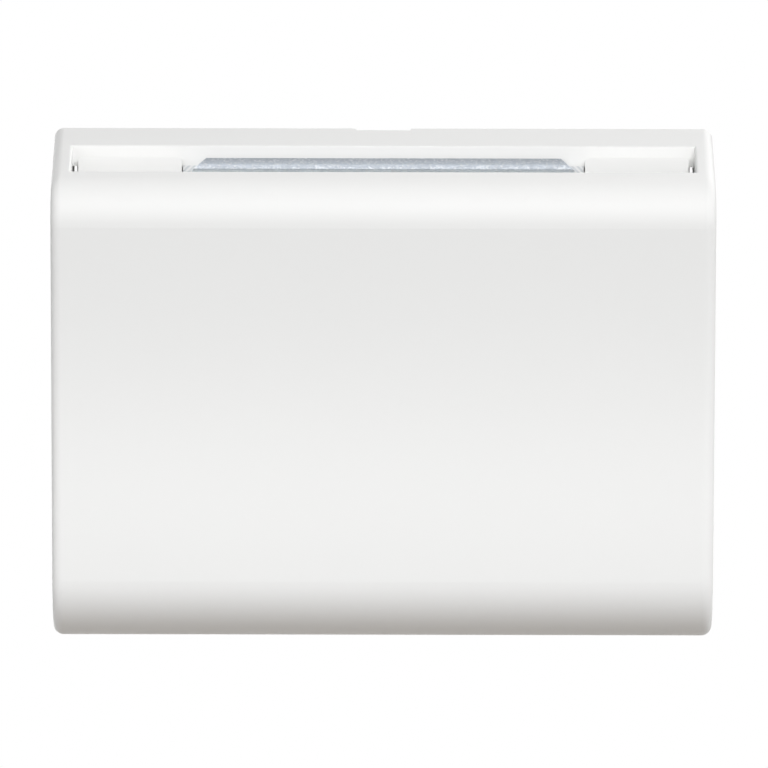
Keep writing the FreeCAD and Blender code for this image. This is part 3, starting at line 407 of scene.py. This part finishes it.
def lamp_resin(name, node, body_tone, window_tone):
    """White lamp moulding with a round window of yellow phosphor in its middle."""
    material, tree, place = new_material(name)
    low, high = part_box(node)
    centre = (low + high) / 2
    middle = add_node(tree, "ShaderNodeMapping", {"Vector": place, "Location": (-centre.x, 0.0, -centre.z)})
    flat = add_node(tree, "ShaderNodeVectorMath", {0: middle.outputs[0], 1: (1.0, 0.0, 1.0)},
                    operation="MULTIPLY")
    reach = add_node(tree, "ShaderNodeVectorMath", {0: flat.outputs[0]}, operation="LENGTH")
    # The window's radius is about a third of the lamp's width, and its edge is soft.
    radius = (high.x - low.x) * 0.34
    inside = add_node(tree, "ShaderNodeMapRange", {
        "Value": reach.outputs["Value"], "From Min": radius * 0.94, "From Max": radius,
        "To Min": 1.0, "To Max": 0.0})
    grain = add_node(tree, "ShaderNodeTexNoise", {"Vector": place, "Scale": per_mm(0.12), "Detail": 2.0})
    window = blended(tree, grain.outputs["Fac"], rgba(shifted(window_tone, 0.85)), rgba(window_tone))
    body = blended(tree, inside.outputs["Result"], rgba(body_tone), window)
    shader = add_node(tree, "ShaderNodeBsdfPrincipled", {
        "Base Color": body, "Roughness": 0.3, "IOR": 1.53, "Subsurface Weight": 0.1,
        "Subsurface Scale": 0.4 * MM})
    close_material(tree, shader)
    return material


def finish(material, *names):
    """Gives a material to CAD nodes."""
    for name in names:
        mesh = frame["nodes"][name].data
        mesh.materials.clear()
        mesh.materials.append(material)


def new_piece(name, bm, material, body):
    """Object of a finished bmesh, with its finish, slot and body."""
    mesh = bpy.data.meshes.new(name)
    bm.to_mesh(mesh)
    bm.free()
    mesh.materials.append(material)
    mesh.shade_smooth()
    piece = bpy.data.objects.new(name, mesh)
    bpy.context.scene.collection.objects.link(piece)
    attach(piece, body)
    return piece


def painted_floor(name, tone):
    """Matt emulsion paint with the faint stipple of a roller."""
    material, tree, place = new_material(name)
    stipple = add_node(tree, "ShaderNodeTexNoise", {"Vector": place, "Scale": per_mm(3), "Detail": 2.0})
    body = blended(tree, stipple.outputs["Fac"], rgba(shifted(tone, 0.99)), rgba(tone))
    bump = add_node(tree, "ShaderNodeBump",
                    {"Height": stipple.outputs["Fac"], "Distance": 0.02 * MM, "Strength": 1.0})
    shader = add_node(tree, "ShaderNodeBsdfPrincipled",
                      {"Base Color": body, "Roughness": 0.8, "Normal": bump.outputs["Normal"],
                       "Emission Color": rgba(tone), "Emission Strength": 0.9})
    close_material(tree, shader)
    return material


def soft_light(name, place, aim, width, height, power, tint):
    """Rectangular light at a place, turned to what it aims at."""
    data = bpy.data.lights.new(name, "AREA")
    data.shape = "RECTANGLE"
    data.size = width
    data.size_y = height
    data.energy = power
    data.color = tint
    light = bpy.data.objects.new(name, data)
    light.matrix_world = (Matrix.Translation(place)
                          @ (aim - place).to_track_quat("-Z", "Y").to_matrix().to_4x4())
    light.visible_camera = False
    bpy.context.scene.collection.objects.link(light)


# Pieces

class FinishFrontCover(bpy.types.Operator):
    """Gives the front cover its polished white"""
    bl_idname = "keycard.finish_front_cover"
    bl_label = "Front cover"

    def execute(self, context):
        tone = context.scene.keycard_colours.cover
        # Polished ABS: a soft, wide highlight and hardly any grain, with a slow waviness.
        finish(moulded("Polished ABS", tone, roughness=0.55, ior=1.5, grain=0.25, depth=0.0006, cloud=0.006),
               "front_cover")
        return {"FINISHED"}


class FinishCardGuides(bpy.types.Operator):
    """Gives the two card guides their white"""
    bl_idname = "keycard.finish_card_guides"
    bl_label = "Card guides"

    def execute(self, context):
        tone = context.scene.keycard_colours.guides
        # Acetal: slides well and looks a little waxy, so its highlight is wider than the cover's.
        finish(moulded("White acetal", tone, roughness=0.4, ior=1.48, grain=0.3, depth=0.001, cloud=0.006),
               "card_guide_left", "card_guide_right")
        return {"FINISHED"}


class FinishLight(bpy.types.Operator):
    """Gives the light bar its pearl silver and the light guide its clear plastic"""
    bl_idname = "keycard.finish_light"
    bl_label = "Light bar and light guide"

    def execute(self, context):
        colours = context.scene.keycard_colours
        finish(pearl_polycarbonate("Pearl polycarbonate", colours.bar, colours.bar_flake), "light_bar")
        finish(clear_polycarbonate("Clear polycarbonate", colours.clear), "light_guide")
        return {"FINISHED"}


class FinishFrame(bpy.types.Operator):
    """Gives the base frame and the guide plate their satin white"""
    bl_idname = "keycard.finish_frame"
    bl_label = "Base frame and guide plate"

    def execute(self, context):
        tone = context.scene.keycard_colours.frame
        # Spark-eroded ABS: an even, fine grain that spreads the light.
        finish(moulded("Satin ABS", tone, roughness=0.52, ior=1.54, grain=0.18, depth=0.004, cloud=0.01),
               "base_frame", "guide_plate")
        return {"FINISHED"}


class FinishHousing(bpy.types.Operator):
    """Gives the mechanism housing its grey"""
    bl_idname = "keycard.finish_housing"
    bl_label = "Mechanism housing"

    def execute(self, context):
        tone = context.scene.keycard_colours.housing
        # Glass-filled polyamide: dull, with fibres that leave a cloudy, rougher skin.
        finish(moulded("Glass-filled polyamide", tone, roughness=0.58, ior=1.53, grain=0.22, depth=0.009,
                       cloud=0.09), "mechanism_housing")
        return {"FINISHED"}


class FinishSwitch(bpy.types.Operator):
    """Gives the microswitch, its plunger and the board's black parts their plastics"""
    bl_idname = "keycard.finish_switch"
    bl_label = "Microswitch"

    def execute(self, context):
        colours = context.scene.keycard_colours
        # Pressed phenolic: hard and even, with a low sheen.
        finish(moulded("Black phenolic", colours.switch, roughness=0.42, ior=1.6, grain=0.16, depth=0.004,
                       cloud=0.12), "microswitch_body", "board_resistors", "board_rectifier")
        # Coloured acetal: bright and smooth, because it slides.
        finish(moulded("Red acetal", colours.plunger, roughness=0.35, ior=1.48, grain=0.2, depth=0.001,
                       cloud=0.05), "microswitch_plunger")
        return {"FINISHED"}


class FinishLever(bpy.types.Operator):
    """Gives the card lever its natural acetal"""
    bl_idname = "keycard.finish_lever"
    bl_label = "Card lever"

    def execute(self, context):
        tone = context.scene.keycard_colours.lever
        # Unpigmented acetal: warm white, waxy.
        finish(moulded("Natural acetal", tone, roughness=0.38, ior=1.48, grain=0.3, depth=0.001, cloud=0.03),
               "card_lever")
        return {"FINISHED"}


class FinishContacts(bpy.types.Operator):
    """Gives clamps, links, tabs and lamp leads their brass and tin"""
    bl_idname = "keycard.finish_contacts"
    bl_label = "Clamps, links, tabs and leads"

    def execute(self, context):
        colours = context.scene.keycard_colours
        # Drawn and sawn brass: bright yellow, with lines along the bar.
        brass = worked_metal("Drawn brass", colours.brass, roughness=0.3, line=0.12,
                             stretch=(1.0, 0.15, 1.0), depth=0.003)
        finish(brass, "common_link", "open_link", "closed_link",
               *[f"terminal_clamp_{place}" for place in (1, 2, 3, 4)])
        # Tinned brass: soft grey-white, slightly uneven where the tin ran.
        tin = worked_metal("Tinned brass", colours.tin, roughness=0.36, line=0.35,
                           stretch=(1.0, 1.0, 1.0), depth=0.006)
        finish(tin, "common_tab", "open_tab", "closed_tab", "lamp_lead_left", "lamp_lead_right")
        return {"FINISHED"}


class FinishSteel(bpy.types.Operator):
    """Gives screws, washers, pin and catches their steel"""
    bl_idname = "keycard.finish_steel"
    bl_label = "Screws, washers, pin and catches"

    def execute(self, context):
        colours = context.scene.keycard_colours
        # Zinc plated steel: bluish white, with fine upright marks under the plate.
        zinc = worked_metal("Zinc plated steel", colours.zinc, roughness=0.3, line=0.15,
                            stretch=(1.0, 1.0, 0.2), depth=0.002)
        finish(zinc, "housing_screws", "terminal_screws", "switch_washers", "lever_pin")
        # Cold rolled spring strip: a little darker and duller, with long rolling lines.
        strip = worked_metal("Rolled spring strip", colours.strip, roughness=0.42, line=0.1,
                             stretch=(1.0, 0.05, 0.3), depth=0.002)
        finish(strip, "upper_catch", "lower_catch")
        return {"FINISHED"}


class MakeBoard(bpy.types.Operator):
    """Gives the board and the lamps their finishes and adds the solder joints of the lamp leads"""
    bl_idname = "keycard.make_board"
    bl_label = "Circuit board, lamps and solder joints"

    def execute(self, context):
        colours = context.scene.keycard_colours
        sizes = context.scene.keycard_sizes
        finish(coated_board("Coated glass-epoxy", colours.resist), "circuit_board")
        for side in ("left", "right"):
            node = f"indicator_lamp_{side}"
            finish(lamp_resin(f"Lamp resin {side}", node, colours.lamp, colours.phosphor), node)
        # Tin-silver solder: bright, with a smooth fillet that climbs the lead.
        solder = worked_metal("Tin-silver solder", colours.tin, roughness=0.22, line=0.5,
                              stretch=(1.0, 1.0, 1.0), depth=0.004)
        lead_radius = (LEAD_HIGH.x - LEAD_LOW.x) / 2
        across = (LEAD_HIGH.x + LEAD_LOW.x) / 2
        up = (LEAD_HIGH.z + LEAD_LOW.z) / 2
        bm = bmesh.new()
        for side in (-1, 1):
            stand = (Matrix.Translation((side * across, BOARD_FACE, up))
                     @ Matrix.Rotation(math.pi / 2, 4, "X"))
            outline = [(sizes.solder_radius * reach, 0, sizes.solder_height * rise)
                       for reach, rise in SOLDER_PROFILE]
            outline.append((lead_radius * SOLDER_TIP, 0, sizes.solder_height))
            line = [bm.verts.new(point) for point in outline]
            edges = [bm.edges.new(pair) for pair in zip(line, line[1:])]
            bmesh.ops.spin(bm, geom=line + edges, cent=(0, 0, 0), axis=(0, 0, 1), dvec=(0, 0, 0),
                           angle=2 * math.pi, steps=sizes.round_steps, use_merge=True, use_duplicate=False)
            fresh = [vert for vert in bm.verts if not vert.tag]
            bmesh.ops.transform(bm, matrix=stand, verts=fresh)
            for vert in fresh:
                vert.tag = True
        rims = [edge for edge in bm.edges if edge.is_boundary]
        bmesh.ops.holes_fill(bm, edges=rims)
        bmesh.ops.recalc_face_normals(bm, faces=bm.faces[:])
        new_piece("solder_joints", bm, solder, "base")
        return {"FINISHED"}


class MakeReturnSpring(bpy.types.Operator):
    """Makes the return spring with its two closed ends"""
    bl_idname = "keycard.make_return_spring"
    bl_label = "Return spring"

    def execute(self, context):
        sizes = context.scene.keycard_sizes
        wire = sizes.wire_radius
        centre = (SPRING_LOW + SPRING_HIGH) / 2
        radius = (SPRING_HIGH.x - SPRING_LOW.x) / 2 - wire
        height = SPRING_HIGH.z - SPRING_LOW.z - 2 * wire
        closed_rise = CLOSED_PITCH * wire * sizes.closed_turns
        open_rise = height - 2 * closed_rise
        bm = bmesh.new()
        start = (Matrix.Translation((centre.x + radius, centre.y, SPRING_LOW.z + wire))
                 @ Matrix.Rotation(math.pi / 2, 4, "X"))
        ring = bmesh.ops.create_circle(bm, cap_ends=True, segments=sizes.round_steps, radius=wire,
                                       matrix=start)
        last = ring["verts"][:]
        last += list({edge for vert in last for edge in vert.link_edges})
        last += list({face for vert in ring["verts"] for face in vert.link_faces})
        for turns, rise in ((sizes.closed_turns, closed_rise), (sizes.spring_turns, open_rise),
                            (sizes.closed_turns, closed_rise)):
            steps = round(turns * TURN_STEPS)
            swept = bmesh.ops.spin(bm, geom=last, cent=(centre.x, centre.y, 0), axis=(0, 0, 1),
                                   dvec=(0, 0, rise / steps), angle=turns * 2 * math.pi, steps=steps,
                                   use_merge=False, use_duplicate=False)
            last = swept["geom_last"]
        bmesh.ops.recalc_face_normals(bm, faces=bm.faces[:])
        # Patented drawn wire: smooth and dark, with fine marks that the die left.
        drawn = worked_metal("Drawn spring wire", context.scene.keycard_colours.wire, roughness=0.25,
                             line=0.12, stretch=(1.0, 1.0, 1.0), depth=0.001)
        spring = new_piece("coil_spring", bm, drawn, "base")
        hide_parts("return_spring")
        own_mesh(spring)
        return {"FINISHED"}


class BuildStudio(bpy.types.Operator):
    """Sets the camera, the soft lights, the white surround and the pale floor"""
    bl_idname = "keycard.build_studio"
    bl_label = "Studio"

    def execute(self, context):
        scene = context.scene
        studio = scene.keycard_studio
        scene.view_settings.view_transform = "Standard"

        lens = bpy.data.cameras.new("Studio camera")
        lens.lens = studio.lens
        lens.sensor_width = 36
        lens.clip_start = 0.01
        lens.clip_end = 20
        lens.shift_x = studio.shift_across
        lens.shift_y = studio.shift_up
        camera = bpy.data.objects.new("Studio camera", lens)
        camera.matrix_world = (Matrix.Translation((0, -studio.distance, 0))
                               @ Matrix.Rotation(math.radians(90), 4, "X")
                               @ Matrix.Rotation(studio.roll, 4, "Z"))
        scene.collection.objects.link(camera)
        scene.camera = camera

        # Softboxes: height and side as angles seen from the object, then width, height and power.
        for name, height, side, width, tall, power in (
                ("Key softbox", 30, 14, 0.55, 0.4, studio.key_power),
                ("Left softbox", 10, -50, 0.5, 0.6, studio.left_power),
                ("Right softbox", 10, 80, 0.5, 0.6, studio.right_power),
                ("Rear softbox", 35, 150, 0.8, 0.5, studio.rear_power),
                ("Back softbox", 5, -170, 0.6, 0.5, studio.back_power)):
            way = Vector((math.sin(math.radians(side)) * math.cos(math.radians(height)),
                          -math.cos(math.radians(side)) * math.cos(math.radians(height)),
                          math.sin(math.radians(height))))
            soft_light(name, way * studio.softbox_distance, Vector((0, 0, 0)), width, tall, power, WHITE)
        # Strip lights close to the shoulder, the lower front and the chin: place, aim, height and power.
        for name, place, aim, tall, power, tint in (
                ("Upper strip", (0, -0.05, 0.04), (0, -0.016, 0.014), 0.02, studio.upper_power, WHITE),
                ("Lower strip", (0, -0.032, -0.018), (0, -0.01, -0.014), 0.01, studio.lower_power, WHITE),
                ("Foot strip", (0, 0.012, -0.085), (0, -0.006, -0.02), 0.02, studio.foot_power,
                 scene.keycard_colours.warm_light)):
            soft_light(name, Vector(place), Vector(aim), studio.strip_length, tall, power, tint)

        world = bpy.data.worlds.new("White surround")
        world.use_nodes = True
        tree = world.node_tree
        tree.nodes.clear()
        seen = add_node(tree, "ShaderNodeBackground", {"Color": rgba(WHITE), "Strength": 1.0})
        around = add_node(tree, "ShaderNodeBackground", {"Color": rgba(WHITE), "Strength": studio.ambient})
        straight = add_node(tree, "ShaderNodeLightPath").outputs["Is Camera Ray"]
        either = add_node(tree, "ShaderNodeMixShader", {
            0: straight, 1: around.outputs[0], 2: seen.outputs[0]})
        add_node(tree, "ShaderNodeOutputWorld", {"Surface": either.outputs[0]})
        scene.world = world

        bm = bmesh.new()
        bmesh.ops.create_circle(bm, cap_ends=True, segments=FLOOR_SIDES, radius=studio.floor_radius,
                                matrix=Matrix.Translation((0, 0, -studio.floor_drop)))
        mesh = bpy.data.meshes.new("Studio floor")
        bm.to_mesh(mesh)
        bm.free()
        mesh.materials.append(painted_floor("Painted floor", scene.keycard_colours.floor))
        floor = bpy.data.objects.new("Studio_floor", mesh)
        scene.collection.objects.link(floor)
        floor.visible_diffuse = False
        return {"FINISHED"}


# Panel and registration

class KeyCardPanel(bpy.types.Panel):
    """Buttons and settings of the key card switch"""
    bl_idname = "VIEW3D_PT_keycard"
    bl_label = "Key card switch"
    bl_space_type = "VIEW_3D"
    bl_region_type = "UI"
    bl_category = "Key card switch"

    def draw(self, context):
        for step in STEPS:
            self.layout.operator(step.bl_idname)
        for group in (context.scene.keycard_colours, context.scene.keycard_sizes,
                      context.scene.keycard_studio):
            box = self.layout.box()
            for name in group.__annotations__:
                box.prop(group, name)


GROUPS = {"keycard_colours": KeyCardColours, "keycard_sizes": KeyCardSizes,
          "keycard_studio": KeyCardStudio}
STEPS = (FinishFrontCover, FinishCardGuides, FinishLight, FinishFrame, FinishHousing, FinishSwitch,
         FinishLever, FinishContacts, FinishSteel, MakeBoard, MakeReturnSpring, BuildStudio)
CLASSES = (*GROUPS.values(), *STEPS, KeyCardPanel)


def register():
    for part in CLASSES:
        bpy.utils.register_class(part)
    for name, group in GROUPS.items():
        setattr(bpy.types.Scene, name, PointerProperty(type=group))


def unregister():
    for name in GROUPS:
        delattr(bpy.types.Scene, name)
    for part in reversed(CLASSES):
        bpy.utils.unregister_class(part)


def main():
    register()
    for step in STEPS:
        area, action = step.bl_idname.split(".")
        getattr(getattr(bpy.ops, area), action)()
    bpy.context.view_layer.update()


if __name__ == "__main__":
    main()
